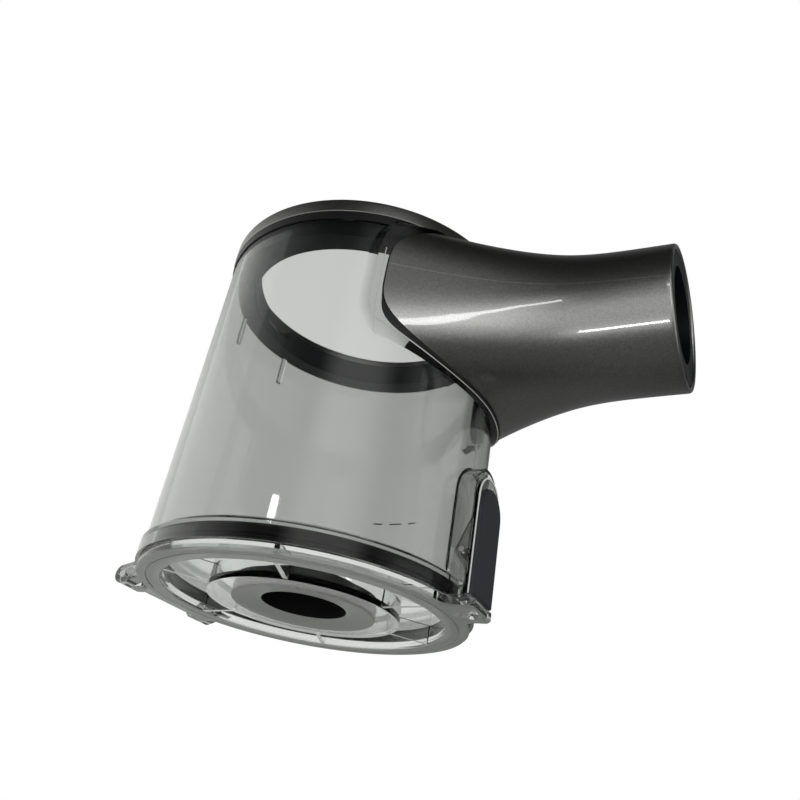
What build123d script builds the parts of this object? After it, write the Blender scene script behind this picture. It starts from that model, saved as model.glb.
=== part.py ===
"""Cyclone dust bin: clear bin with a flared inlet tube, a hinged lid and a release latch.

Millimetres. The bin stands on its lid, +Z up, with the origin on the bin axis at the lid's
underside. The inlet tube and the latch point to +X, the lid's hinge is on the -X side.
"""

from build123d import *
import math
import os

# Clear bin wall
bin_radius = 58.0
wall = 2.4
shell_bottom = 3.4
rim_flare = 1.4
rim_height = 6.0
shell_top = 131.0
seam_height = 3.3
neck_depth = 1.0
seat_gap = 0.03

# Painted ring, the seal under it and the collar inside the top
trim_overhang = 0.9
trim_width = 7.2
trim_height = 6.0
trim_edge = 1.2
seal_overhang = 0.5
collar_width = 8.4
collar_height = 9.5
collar_clearance = 0.15
collar_chamfer = 0.4
clip_notch_width = 18.0
clip_notch_depth = 5.2
guide_rib_angle = 17.5
guide_rib_width = 2.2
guide_rib_depth = 1.2
guide_rib_length = 22.0
guide_rib_clearance = 0.2

# Flared inlet tube
tube_drop = 26.4
tube_radius = 25.4
tube_wall = 2.0
tube_length = 70.4
mouth_edge = 0.5
flare_length = 36.5
flare_spread = 0.8465
flare_root_share = 0.62
flare_rise = 7.9
flare_fall = 5.9
upper_shape = 4.3
lower_shape = 4.0
width_power = 1.45
height_power = 1.44
flare_steps = 4
section_points = 24

# Port frame on the bin wall and its gasket
frame_depth = 2.2
frame_margin = 1.0
gasket_thickness = 0.8
gasket_width = 2.6

# Air duct and mouth of the tube
socket_inset = 6.4
socket_rise = 1.5
liner_wall = 1.8
liner_clearance = 0.2
liner_flange_width = 3.2
liner_flange_thickness = 1.4
ring_recess = 0.8
ring_thickness = 3.0
ring_clearance = 0.1
contact_spacing = 12.0
contact_inset = 3.4
contact_width = 3.4
contact_height = 1.5
key_slot_inset = 3.8
key_slot_bearing = -34.8
key_slot_length = 4.2
key_slot_width = 1.6
key_slot_angle = -63.0
block_width = 18.0
block_depth = 10.0
blade_clearance = 0.1
blade_tip_recess = 1.0
blade_tail = 2.0

# Lid
lid_overhang = 0.2
lid_flange = 3.1
lid_edge = 0.6
lid_line_inset = 3.5
lid_line_width = 0.6
lid_line_depth = 0.3
plug_gap = 3.6
plug_wall = 2.5
plug_height = 9.0
plug_bevel = 0.7
ceiling = 2.0
dish_radius = 34.0
dish_wall = 2.0
dish_floor = 2.6
cone_radius = 25.0
cone_rise = 1.5
hub_radius = 15.0
hub_wall = 1.6
hub_recess = 8.6
hub_top = 10.2
rib_count = 6
rib_angle = -68.0
rib_thickness = 1.6
rib_inset = 0.3
outer_seal_clearance = 0.3
outer_seal_bottom = 0.4
outer_seal_height = 5.1
outer_seal_groove = 1.1
inner_seal_radius = 25.4
inner_seal_height = 3.9
inner_seal_lip = 1.2
inner_seal_neck = 2.0
inner_seal_drop = 0.8

# Hinge
hinge_reach = 4.5
hinge_z = 3.4
knuckle_radius = 3.4
knuckle_inset = 15.5
knuckle_width = 5.0
lug_gap = 0.3
lug_width = 5.0
leaf_setback = 2.5
hinge_pin_radius = 1.2
hinge_pin_fit = 0.05
lid_clearance = 0.4

# Latch
pocket_half_width = 10.4
pocket_wall = 1.1
pocket_arch = 39.6
pocket_depth = 5.6
pivot_reach = 3.3
pivot_z = 18.3
latch_pin_radius = 1.0
latch_pin_fit = 0.05
latch_pin_end = 0.2
lever_side_gap = 0.3
lever_inset = 0.2
lever_thickness = 1.5
lever_bottom = 4.4
lever_top = 46.5
cheek_thickness = 1.4
cheek_radius = 2.4
cheek_low = 11.0
cheek_high = 30.0
nose_length = 1.6
nose_bottom = 5.2
nose_top = 7.2
nose_half_width = 5.0
pad_thickness = 1.35
pad_top = 42.5
pad_edge = 0.9
tab_overhang = 0.55
tab_half_width = 9.0
tab_fillet = 5.0
tab_corner = 2.0
hook_clearance = 0.4
hook_thickness = 1.0
hook_barb = 0.5
hook_barb_height = 1.2
hook_gap = 0.4
hook_lead = 1.0

# Torsion spring round the latch pin
wire_radius = 0.3
wire_sides = 6
coil_radius = 1.5
coil_pitch = 0.72
coil_turns = 3
coil_end_angle = 150.0
coil_start = -5.6
spring_leg = 15.0
spring_heel = 2.6
eye_radius = 1.2

# Sizes that follow from the ones above
bore_radius = bin_radius - wall
rim_radius = bin_radius + rim_flare
rim_top = shell_bottom + rim_height
seam_bottom = shell_top - seam_height
neck_radius = bin_radius - neck_depth
frame_radius = bin_radius + frame_depth
saddle_radius = frame_radius + gasket_thickness
trim_radius = bin_radius + trim_overhang
trim_bore = trim_radius - trim_width
seal_radius = bin_radius + seal_overhang
tube_axis = shell_top - tube_drop
mouth_reach = bin_radius + tube_length
flare_start = bin_radius + flare_length
flare_root = bin_radius * flare_root_share
flare_half_width = bin_radius * flare_spread
socket_axis = tube_axis + socket_rise
tube_bore = tube_radius - tube_wall
socket_radius = tube_bore - socket_inset
liner_radius = socket_radius + liner_wall
ring_front = mouth_reach - ring_recess
ring_back = ring_front - ring_thickness
contact_drop = tube_bore - contact_inset
contact_axis = tube_axis - contact_drop
collar_bottom = shell_top - collar_height
collar_radius = bore_radius - collar_clearance
collar_bore = collar_radius - collar_width
lid_radius = bin_radius + lid_overhang
lid_line_radius = lid_radius - lid_line_inset
plug_radius = bore_radius - plug_gap
channel_radius = plug_radius - plug_wall
ceiling_bottom = plug_height - ceiling
hinge_x = -(bin_radius + hinge_reach)
leaf_reach = -hinge_x - leaf_setback
lug_inset = knuckle_inset + knuckle_width + lug_gap
pocket_front = bin_radius + pocket_depth
pivot_x = bin_radius + pivot_reach
lever_half_width = pocket_half_width - pocket_wall - lever_side_gap
lever_back = pocket_front - lever_inset
lever_front = lever_back + lever_thickness
tab_reach = lever_front + pad_thickness + tab_overhang
nose_tip = lever_back - nose_length
hook_tip = nose_tip - hook_clearance
hook_back = hook_tip - hook_barb - hook_thickness
hook_catch = nose_top + hook_gap


def tube_plane(reach, height):
    """Plane across the tube: local x along +Y, local y along +Z."""
    return Plane(origin=(reach, 0, height), x_dir=(0, 1, 0), z_dir=(1, 0, 0))


def tube_section(reach, share, inset):
    """Outline across the tube, from the round mouth at share 0 to the wide root at share 1."""
    half_width = tube_radius + (flare_half_width - tube_radius) * share**width_power - inset
    points = []
    for step in range(section_points):
        across = math.cos(2 * math.pi * step / section_points)
        upward = math.sin(2 * math.pi * step / section_points)
        spread, shape = (flare_rise, upper_shape) if upward > 0 else (flare_fall, lower_shape)
        half_height = tube_radius + spread * share**height_power - inset
        bend = 2 / (2 + (shape - 2) * share)
        points.append((
            half_width * math.copysign(abs(across) ** bend, across),
            half_height * math.copysign(abs(upward) ** bend, upward),
        ))
    with BuildSketch(tube_plane(reach, tube_axis)) as section:
        with BuildLine():
            Spline(*points, periodic=True)
        make_face()
    return section.sketch


def flared_tube(inset, overshoot):
    """Solid of the flared tube, drawn in by inset all round and carried past the mouth."""
    sections = []
    for step in range(flare_steps, -1, -1):
        share = step / flare_steps
        sections.append(tube_section(flare_start - share * (flare_start - flare_root), share, inset))
    with BuildPart() as tube:
        loft(sections)
        extrude(sections[-1], amount=mouth_reach + overshoot - flare_start)
    return tube.part


def port_block(margin):
    """Raised block round the inlet port, wider than the tube's edge by margin."""
    with BuildPart() as block:
        add(flared_tube(-margin, 0))
        extrude(tube_section(0, 1, -margin), amount=flare_root)
        Cylinder(
            frame_radius,
            shell_top,
            align=(Align.CENTER, Align.CENTER, Align.MIN),
            mode=Mode.INTERSECT,
        )
    return block.part


def arch(half_width, bottom, top):
    """Upright outline with a round head, in the sketch that is open."""
    with Locations((0, (bottom + top - half_width) / 2)):
        Rectangle(2 * half_width, top - half_width - bottom)
    with Locations((0, top - half_width)):
        Circle(half_width)


# The latch pocket is a thin arch open at the front and at the bottom
with BuildPart() as latch_pocket:
    with BuildSketch(Plane.YZ):
        arch(pocket_half_width, shell_bottom, pocket_arch + pocket_half_width)
        with BuildSketch(mode=Mode.SUBTRACT):
            arch(
                pocket_half_width - pocket_wall,
                shell_bottom - pocket_wall,
                pocket_arch + pocket_half_width - pocket_wall,
            )
    extrude(amount=pocket_front)
    with BuildSketch(Plane.XZ):
        with Locations((pivot_x, pivot_z)):
            Circle(latch_pin_radius + latch_pin_fit)
    extrude(amount=pocket_half_width, both=True, mode=Mode.SUBTRACT)

# Hinge lugs hang from the rim and keep clear of the lid's flange
with BuildPart() as hinge_lugs:
    with BuildSketch(Plane.XZ.offset(lug_inset)):
        with Locations((hinge_x, hinge_z)):
            Circle(knuckle_radius)
        lug_root = -math.sqrt(bore_radius**2 - lug_inset**2) - wall / 2
        with Locations((lug_root, (shell_bottom + rim_top) / 2)):
            Rectangle(wall / 4, rim_height)
        make_hull()
        with Locations((hinge_x, hinge_z)):
            Circle(hinge_pin_radius + hinge_pin_fit, mode=Mode.SUBTRACT)
    extrude(amount=lug_width)
    Cylinder(
        lid_radius + lid_clearance,
        shell_bottom,
        align=(Align.CENTER, Align.CENTER, Align.MIN),
        mode=Mode.SUBTRACT,
    )
    mirror(about=Plane.XZ)

# Clear bin: one wall with a stepped neck at the top and a thicker rim at the bottom
with BuildPart() as bin_shell:
    with BuildSketch(Plane.XZ):
        with BuildLine():
            Polyline(
                (0, shell_bottom),
                (rim_radius, shell_bottom),
                (rim_radius, rim_top),
                (bin_radius, rim_top + rim_radius - bin_radius),
                (bin_radius, seam_bottom),
                (neck_radius, seam_bottom),
                (neck_radius, shell_top),
                (0, shell_top),
                close=True,
            )
        make_face()
    revolve(axis=Axis.Z)
    add(port_block(frame_margin))
    add(latch_pocket.part)
    add(hinge_lugs.part)
    with Locations((0, 0, shell_bottom)):
        Cylinder(
            bore_radius,
            shell_top - shell_bottom,
            align=(Align.CENTER, Align.CENTER, Align.MIN),
            mode=Mode.SUBTRACT,
        )
    # Two guide ribs at the back line up the collar
    with BuildSketch(Plane.XY.offset(shell_top - guide_rib_length)):
        for side in (-1, 1):
            with PolarLocations(bore_radius, 1, start_angle=180 + side * guide_rib_angle):
                Rectangle(2 * guide_rib_depth, guide_rib_width)
    extrude(amount=guide_rib_length)
    # Air inlet through the port frame and the wall
    with BuildSketch(tube_plane(bore_radius / 2, socket_axis)):
        Circle(liner_radius + liner_clearance)
    extrude(amount=saddle_radius, mode=Mode.SUBTRACT)
bin_shell.part.label = "bin_shell"

# Painted ring that closes the top edge
with BuildPart() as top_trim_ring:
    with BuildSketch(Plane.XY.offset(shell_top)):
        Circle(trim_radius)
        Circle(trim_bore, mode=Mode.SUBTRACT)
    extrude(amount=trim_height)
    chamfer(top_trim_ring.faces().sort_by(Axis.Z)[-1].edges(), trim_edge)
top_trim_ring.part.label = "top_trim_ring"

# Black band between the clear wall and the painted ring, open where the port frame is
with BuildPart() as trim_seal:
    with BuildSketch(Plane.XY.offset(seam_bottom)):
        Circle(seal_radius)
        Circle(neck_radius + seat_gap, mode=Mode.SUBTRACT)
    extrude(amount=seam_height)
    add(port_block(frame_margin + seat_gap), mode=Mode.SUBTRACT)
trim_seal.part.label = "trim_seal"

# Collar inside the top: keyed on the guide ribs, notched at the back, cut out for the air duct
with BuildPart() as upper_collar:
    with BuildSketch(Plane.XZ):
        with BuildLine():
            Polyline(
                (collar_bore + collar_chamfer, collar_bottom),
                (collar_radius, collar_bottom),
                (collar_radius, shell_top),
                (collar_bore, shell_top),
                (collar_bore, collar_bottom + collar_chamfer),
                close=True,
            )
        make_face()
    revolve(axis=Axis.Z)
    with BuildSketch(Plane.XY.offset(collar_bottom)):
        for side in (-1, 1):
            with PolarLocations(bore_radius, 1, start_angle=180 + side * guide_rib_angle):
                Rectangle(
                    2 * (guide_rib_depth + guide_rib_clearance),
                    guide_rib_width + 2 * guide_rib_clearance,
                )
    extrude(amount=collar_height, mode=Mode.SUBTRACT)
    with BuildSketch(tube_plane(-bin_radius, shell_top)):
        Rectangle(clip_notch_width, 2 * clip_notch_depth)
    extrude(amount=bin_radius, mode=Mode.SUBTRACT)
    with BuildSketch(tube_plane(0, socket_axis)):
        Circle(liner_radius + liner_clearance)
    extrude(amount=bin_radius, mode=Mode.SUBTRACT)
upper_collar.part.label = "upper_collar"

# Painted tube: a thin shell, round at the mouth, that flares sideways onto the bin
with BuildPart() as inlet_shell:
    add(flared_tube(0, 0))
    add(flared_tube(tube_wall, ring_recess), mode=Mode.SUBTRACT)
    Cylinder(
        saddle_radius + seat_gap,
        2 * shell_top,
        align=(Align.CENTER, Align.CENTER, Align.MIN),
        mode=Mode.SUBTRACT,
    )
    mouth_face = inlet_shell.faces().filter_by(Axis.X).sort_by(Axis.X)[-1]
    chamfer(mouth_face.outer_wire().edges(), mouth_edge)
inlet_shell.part.label = "inlet_shell"

# Gasket between the tube's edge and the port frame
with BuildPart() as port_gasket:
    add(flared_tube(0, 0))
    add(flared_tube(gasket_width, ring_recess), mode=Mode.SUBTRACT)
    Cylinder(
        saddle_radius,
        shell_top + trim_height,
        align=(Align.CENTER, Align.CENTER, Align.MIN),
        mode=Mode.INTERSECT,
    )
    Cylinder(
        frame_radius + seat_gap,
        shell_top + trim_height,
        align=(Align.CENTER, Align.CENTER, Align.MIN),
        mode=Mode.SUBTRACT,
    )
port_gasket.part.label = "port_gasket"

# Air duct from the mouth ring to the bin wall, with a flange on the port frame
with BuildPart() as inlet_liner:
    with BuildSketch(tube_plane(0, socket_axis)):
        Circle(liner_radius + liner_flange_width)
    extrude(amount=saddle_radius + liner_flange_thickness)
    add(flared_tube(gasket_width + liner_clearance, 0), mode=Mode.INTERSECT)
    Cylinder(
        frame_radius + liner_flange_thickness,
        shell_top,
        align=(Align.CENTER, Align.CENTER, Align.MIN),
        mode=Mode.INTERSECT,
    )
    Cylinder(
        frame_radius + seat_gap,
        shell_top,
        align=(Align.CENTER, Align.CENTER, Align.MIN),
        mode=Mode.SUBTRACT,
    )
    with BuildSketch(tube_plane(bore_radius / 2, socket_axis)):
        Circle(liner_radius)
    extrude(amount=ring_back - bore_radius / 2)
    Cylinder(
        bore_radius,
        shell_top,
        align=(Align.CENTER, Align.CENTER, Align.MIN),
        mode=Mode.SUBTRACT,
    )
    with BuildSketch(tube_plane(bore_radius / 2, socket_axis)):
        Circle(socket_radius)
    extrude(amount=ring_back, mode=Mode.SUBTRACT)
inlet_liner.part.label = "inlet_liner"

# Dark ring in the mouth, its bore set above the tube's axis, with the contact slots below
with BuildPart() as mouth_ring:
    with BuildSketch(tube_plane(ring_back, tube_axis)):
        Circle(tube_bore - ring_clearance)
        with Locations((0, socket_rise)):
            Circle(socket_radius, mode=Mode.SUBTRACT)
        with Locations((0, -contact_drop)):
            with GridLocations(contact_spacing, 0, 2, 1):
                Rectangle(contact_width, contact_height, mode=Mode.SUBTRACT)
        key_slot_radius = tube_bore - key_slot_inset
        with PolarLocations(key_slot_radius, 1, start_angle=key_slot_bearing, rotate=False):
            SlotOverall(key_slot_length, key_slot_width, rotation=key_slot_angle, mode=Mode.SUBTRACT)
    extrude(amount=ring_thickness)
mouth_ring.part.label = "mouth_ring"

# Block behind the mouth ring that carries the two contact blades
with BuildPart() as contact_block:
    with BuildSketch(tube_plane(ring_back - block_depth, tube_axis)):
        Circle(tube_bore - ring_clearance)
        with Locations((0, socket_rise - liner_radius - liner_clearance)):
            Rectangle(block_width, tube_bore, align=(Align.CENTER, Align.MAX), mode=Mode.INTERSECT)
        with Locations((0, -contact_drop)):
            with GridLocations(contact_spacing, 0, 2, 1):
                Rectangle(contact_width, contact_height, mode=Mode.SUBTRACT)
    extrude(amount=block_depth)
contact_block.part.label = "contact_block"

with BuildPart() as contact_terminals:
    with BuildSketch(tube_plane(ring_back - block_depth - blade_tail, contact_axis)):
        with GridLocations(contact_spacing, 0, 2, 1):
            Rectangle(contact_width - 2 * blade_clearance, contact_height - 2 * blade_clearance)
    extrude(amount=blade_tail + block_depth + ring_thickness - blade_tip_recess)
contact_terminals.part.label = "contact_terminals"

# Lid flange with the latch tab at the front and the hinge leaf at the back
with BuildPart() as lid_flange_plate:
    with BuildSketch() as flange_outline:
        Circle(lid_radius)
        with Locations((tab_reach / 2, 0)):
            Rectangle(tab_reach, 2 * tab_half_width)
        with Locations((-leaf_reach / 2, 0)):
            Rectangle(leaf_reach, 2 * (knuckle_inset + knuckle_width))
        front = flange_outline.vertices().group_by(Axis.X)
        fillet(front[-1], tab_corner)
        root = flange_outline.vertices().filter_by_position(Axis.X, bore_radius, lid_radius)
        fillet(root, tab_fillet)
        Circle(channel_radius + plug_bevel, mode=Mode.SUBTRACT)
    extrude(amount=lid_flange)
    chamfer(lid_flange_plate.faces().sort_by(Axis.Z)[0].outer_wire().edges(), lid_edge)

# Lid: plug wall, ribbed channel, dish and hub in one revolved profile
with BuildPart() as lid:
    with BuildSketch(Plane.XZ):
        with BuildLine():
            Polyline(
                (0, hub_recess),
                (hub_radius, hub_recess),
                (hub_radius, cone_rise),
                (cone_radius, 0),
                (dish_radius, 0),
                (dish_radius, ceiling_bottom),
                (channel_radius, ceiling_bottom),
                (channel_radius, plug_bevel),
                (channel_radius + plug_bevel, 0),
                (plug_radius, 0),
                (plug_radius, plug_height),
                (dish_radius - dish_wall, plug_height),
                (dish_radius - dish_wall, dish_floor),
                (hub_radius + hub_wall, dish_floor),
                (hub_radius + hub_wall, hub_top),
                (0, hub_top),
                close=True,
            )
        make_face()
    revolve(axis=Axis.Z)
    add(lid_flange_plate.part)
    # Radial ribs in the channel
    with BuildSketch(Plane.XY.offset(rib_inset)):
        with PolarLocations((dish_radius + channel_radius) / 2, rib_count, start_angle=rib_angle):
            Rectangle(channel_radius - dish_radius + dish_wall, rib_thickness)
    extrude(amount=ceiling_bottom - rib_inset)
    # Fine line round the underside
    with BuildSketch():
        Circle(lid_line_radius + lid_line_width / 2)
        Circle(lid_line_radius - lid_line_width / 2, mode=Mode.SUBTRACT)
    extrude(amount=lid_line_depth, mode=Mode.SUBTRACT)
    # Hinge knuckles
    for side in (-1, 1):
        near = min(side * knuckle_inset, side * (knuckle_inset + knuckle_width))
        with BuildSketch(Plane(origin=(hinge_x, near, hinge_z), x_dir=(1, 0, 0), z_dir=(0, 1, 0))):
            Circle(knuckle_radius)
            with Locations((-hinge_x - leaf_reach, hinge_z - lid_flange / 2)):
                Rectangle(knuckle_radius, lid_flange)
        extrude(amount=knuckle_width)
    with BuildSketch(Plane.XZ):
        with Locations((hinge_x, hinge_z)):
            Circle(hinge_pin_radius + hinge_pin_fit)
    extrude(amount=lug_inset, both=True, mode=Mode.SUBTRACT)
    # Latch hook on the tab
    with BuildSketch(Plane.XZ):
        with BuildLine():
            Polyline(
                (hook_back, lid_flange / 2),
                (hook_back + hook_thickness, lid_flange / 2),
                (hook_back + hook_thickness, hook_catch),
                (hook_tip, hook_catch),
                (hook_tip, hook_catch + hook_barb_height),
                (hook_back + hook_thickness / 2, hook_catch + hook_barb_height + hook_lead),
                (hook_back, hook_catch + hook_barb_height + hook_lead),
                close=True,
            )
        make_face()
    extrude(amount=nose_half_width, both=True)
lid.part.label = "lid"

# Two-lip seal round the plug
with BuildPart() as lid_outer_seal:
    with BuildSketch(Plane.XZ):
        with BuildLine():
            seal_low = lid_flange + outer_seal_bottom
            seal_high = seal_low + outer_seal_height
            seal_mid = (seal_low + seal_high) / 2
            lip = bore_radius - outer_seal_clearance
            Polyline(
                (plug_radius + seat_gap, seal_low),
                (lip, seal_low),
                (lip, seal_mid - outer_seal_groove / 2),
                (lip - outer_seal_groove, seal_mid),
                (lip, seal_mid + outer_seal_groove / 2),
                (lip, seal_high - outer_seal_groove / 2),
                (lip - outer_seal_groove, seal_high),
                (plug_radius + seat_gap, seal_high),
                close=True,
            )
        make_face()
    revolve(axis=Axis.Z)
lid_outer_seal.part.label = "lid_outer_seal"

# Ring seal in the dish, where the cyclone's foot comes down
with BuildPart() as lid_inner_seal:
    with BuildSketch(Plane.XZ):
        with BuildLine():
            inner_seal_top = dish_floor + inner_seal_height
            inner_seal_bore = hub_radius + hub_wall + seat_gap
            Polyline(
                (inner_seal_bore, dish_floor),
                (inner_seal_radius, dish_floor),
                (inner_seal_radius, inner_seal_top),
                (inner_seal_radius - inner_seal_lip, inner_seal_top),
                (inner_seal_bore + inner_seal_neck, inner_seal_top - inner_seal_lip),
                (inner_seal_bore + inner_seal_neck, hub_top - inner_seal_drop),
                (inner_seal_bore, hub_top - inner_seal_drop),
                close=True,
            )
        make_face()
    revolve(axis=Axis.Z)
lid_inner_seal.part.label = "lid_inner_seal"

# Two short hinge pins
with BuildPart() as hinge_pins:
    with BuildSketch(Plane.XZ.offset(knuckle_inset)):
        with Locations((hinge_x, hinge_z)):
            Circle(hinge_pin_radius)
    extrude(amount=knuckle_width + lug_gap + lug_width)
    mirror(about=Plane.XZ)
hinge_pins.part.label = "hinge_pins"

# Clear lever: a round-headed plate with two cheeks on the pin and a nose for the hook
with BuildPart() as latch_lever:
    with BuildSketch(Plane.YZ.offset(lever_back)):
        arch(lever_half_width, lever_bottom, lever_top)
    extrude(amount=lever_thickness)
    for side in (-1, 1):
        near = min(side * lever_half_width, side * (lever_half_width - cheek_thickness))
        with BuildSketch(Plane(origin=(0, near, 0), x_dir=(1, 0, 0), z_dir=(0, 1, 0))):
            with Locations((pivot_x, -pivot_z)):
                Circle(cheek_radius)
            with Locations((lever_front - lever_thickness / 2, -(cheek_low + cheek_high) / 2)):
                Rectangle(lever_thickness, cheek_high - cheek_low)
            make_hull()
        extrude(amount=cheek_thickness)
    with BuildSketch(Plane.XZ):
        with BuildLine():
            Polyline(
                (lever_front - lever_thickness / 2, nose_bottom),
                (lever_back, nose_bottom),
                (nose_tip, (nose_bottom + nose_top) / 2),
                (nose_tip, nose_top),
                (lever_front - lever_thickness / 2, nose_top),
                close=True,
            )
        make_face()
    extrude(amount=nose_half_width, both=True)
    with BuildSketch(Plane.XZ):
        with Locations((pivot_x, pivot_z)):
            Circle(latch_pin_radius + latch_pin_fit)
    extrude(amount=pocket_half_width, both=True, mode=Mode.SUBTRACT)
latch_lever.part.label = "latch_lever"

# Dark press pad on the lever's face
with BuildPart() as latch_pad:
    with BuildSketch(Plane.YZ.offset(lever_front)):
        arch(lever_half_width, lever_bottom, pad_top)
    extrude(amount=pad_thickness)
    fillet(latch_pad.faces().sort_by(Axis.X)[-1].edges(), pad_edge)
latch_pad.part.label = "latch_pad"

with BuildPart() as latch_pin:
    with BuildSketch(Plane.XZ):
        with Locations((pivot_x, pivot_z)):
            Circle(latch_pin_radius)
    extrude(amount=pocket_half_width - latch_pin_end, both=True)
latch_pin.part.label = "latch_pin"

# Torsion spring: coil on the pin, a long leg on the lever, a short heel on the bin wall
with BuildPart() as spring_wire:
    with BuildLine():
        coil = Helix(coil_pitch, coil_pitch * (coil_turns + coil_end_angle / 360), coil_radius)
    with BuildSketch(Plane(origin=coil @ 0, z_dir=coil % 0)):
        RegularPolygon(wire_radius, wire_sides)
    sweep(path=coil, is_frenet=True)
    with BuildSketch(Plane(origin=coil @ 0, z_dir=-(coil % 0))):
        RegularPolygon(wire_radius, wire_sides)
    extrude(amount=spring_leg)
    with BuildSketch(Plane(origin=coil @ 1, z_dir=coil % 1)):
        RegularPolygon(wire_radius, wire_sides)
    extrude(amount=spring_heel)
    eye_centre = coil @ 0 - (coil % 0) * (spring_leg + eye_radius)
    with Locations(Plane(origin=eye_centre, z_dir=(1, 0, 0))):
        Torus(eye_radius, wire_radius)

with BuildPart() as latch_spring:
    with Locations(Plane(origin=(pivot_x, coil_start, pivot_z), x_dir=(1, 0, 0), z_dir=(0, 1, 0))):
        add(spring_wire.part)
latch_spring.part.label = "latch_spring"

os.makedirs("parts", exist_ok=True)
pieces = [
    bin_shell,
    top_trim_ring,
    trim_seal,
    upper_collar,
    inlet_shell,
    port_gasket,
    inlet_liner,
    mouth_ring,
    contact_block,
    contact_terminals,
    lid,
    lid_outer_seal,
    lid_inner_seal,
    hinge_pins,
    latch_lever,
    latch_pad,
    latch_pin,
    latch_spring,
]
for piece in pieces:
    export_step(piece.part, f"parts/{piece.part.label}.step")
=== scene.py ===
"""Cyclone dust bin: detailed pieces, finishes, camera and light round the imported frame."""

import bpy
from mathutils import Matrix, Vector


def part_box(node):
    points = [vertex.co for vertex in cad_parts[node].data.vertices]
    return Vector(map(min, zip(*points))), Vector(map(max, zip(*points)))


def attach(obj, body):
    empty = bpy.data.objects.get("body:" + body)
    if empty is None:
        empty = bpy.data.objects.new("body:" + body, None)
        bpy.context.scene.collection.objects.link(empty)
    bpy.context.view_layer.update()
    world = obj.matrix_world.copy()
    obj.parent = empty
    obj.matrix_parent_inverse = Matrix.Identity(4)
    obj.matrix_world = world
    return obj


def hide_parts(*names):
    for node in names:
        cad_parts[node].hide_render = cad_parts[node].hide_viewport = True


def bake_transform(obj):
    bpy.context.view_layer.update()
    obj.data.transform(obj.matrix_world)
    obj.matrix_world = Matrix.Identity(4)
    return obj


bl_info = {
    "name": "Cyclone dust bin",
    "version": (1, 0, 0),
    "blender": (4, 5, 0),
    "location": "View3D > Sidebar > Dust bin",
    "description": "Dresses the packed dust bin with detailed pieces, finishes and a small studio",
    "category": "Object",
}

import math

import bmesh
import bpy
from bpy.props import FloatProperty, FloatVectorProperty, IntProperty, PointerProperty
from mathutils import Matrix, Vector

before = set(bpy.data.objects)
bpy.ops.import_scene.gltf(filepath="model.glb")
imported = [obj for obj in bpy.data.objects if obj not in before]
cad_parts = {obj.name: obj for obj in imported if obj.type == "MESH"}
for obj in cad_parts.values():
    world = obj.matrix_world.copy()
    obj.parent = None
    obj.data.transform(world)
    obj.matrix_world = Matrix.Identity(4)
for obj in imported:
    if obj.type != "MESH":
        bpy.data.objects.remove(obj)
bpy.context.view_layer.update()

MM = 0.001
trim_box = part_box("top_trim_ring")
mouth_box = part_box("inlet_shell")
lid_seal_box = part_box("lid_outer_seal")
lever_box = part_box("latch_lever")


# Sizes and colours that a user would change


def length(label, words, millimetres):
    """Length property with its default given in millimetres."""
    metres = millimetres * MM
    return FloatProperty(name=label, description=words, default=metres, unit="LENGTH", precision=5)


def rotation(label, words, degrees):
    """Angle property with its default given in degrees."""
    return FloatProperty(name=label, description=words, default=math.radians(degrees), unit="ROTATION")


def number(label, words, value):
    """Plain number property."""
    return FloatProperty(name=label, description=words, default=value)


def count(label, words, value, least):
    """Whole number property."""
    return IntProperty(name=label, description=words, default=value, min=least)


def tint(label, words, colour):
    """Linear colour property."""
    return FloatVectorProperty(
        name=label, description=words, default=colour, subtype="COLOR", size=3, min=0, max=1
    )


class RingSizes(bpy.types.PropertyGroup):
    """Rings round the top and the lid."""

    steps: count("Steps", "Facets round a ring", 224, 24)
    trim_bore: length("Trim bore", "Radius of the painted ring's bore", 51.7)
    trim_edge: length("Trim edge", "Rounding of the painted ring's upper edges", 1.3)
    trim_foot: length("Trim foot", "Rounding of the painted ring's lower outer edge", 0.35)
    trim_bore_foot: length("Trim bore foot", "Rounding of the painted ring's lower inner edge", 0.2)
    seal_wall: length("Seal wall", "Thickness of the lid's seal", 3.2)
    seal_lip: length("Seal lip", "Depth of the groove between the seal's lips", 1.1)
    seal_rise: length("Seal rise", "How far the upper lip stands above the seal's foot", 0.9)
    seal_edge: length("Seal edge", "Rounding of the seal's lips", 0.4)
    seal_groove: length("Seal groove", "Rounding at the root of the groove", 0.3)
    seal_heel: length("Seal heel", "Rounding where the upper lip leaves the seal's top", 0.5)


class LidSizes(bpy.types.PropertyGroup):
    """Zones of the lid that are frosted or black."""

    flange: length("Flange", "Radius at which the frosted flange begins", 49.9)
    flange_top: length("Flange top", "Height at which the flange turns clear", 0.7)
    flange_blur: length("Flange blur", "Softness of that turn", 0.2)
    cone: length("Cone", "Radius at which the frosted cone begins", 15.1)
    cone_rim: length("Cone rim", "Radius at which the cone ends", 25.3)
    cone_top: length("Cone top", "Height at which the cone turns clear", 3.3)
    frost_blur: length("Frost blur", "Softness of the frosted edges", 0.3)
    plug: length("Plug", "Radius of the black plug in the hub", 15.15)
    plug_blur: length("Plug blur", "Softness of the plug's edge", 0.1)


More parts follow.
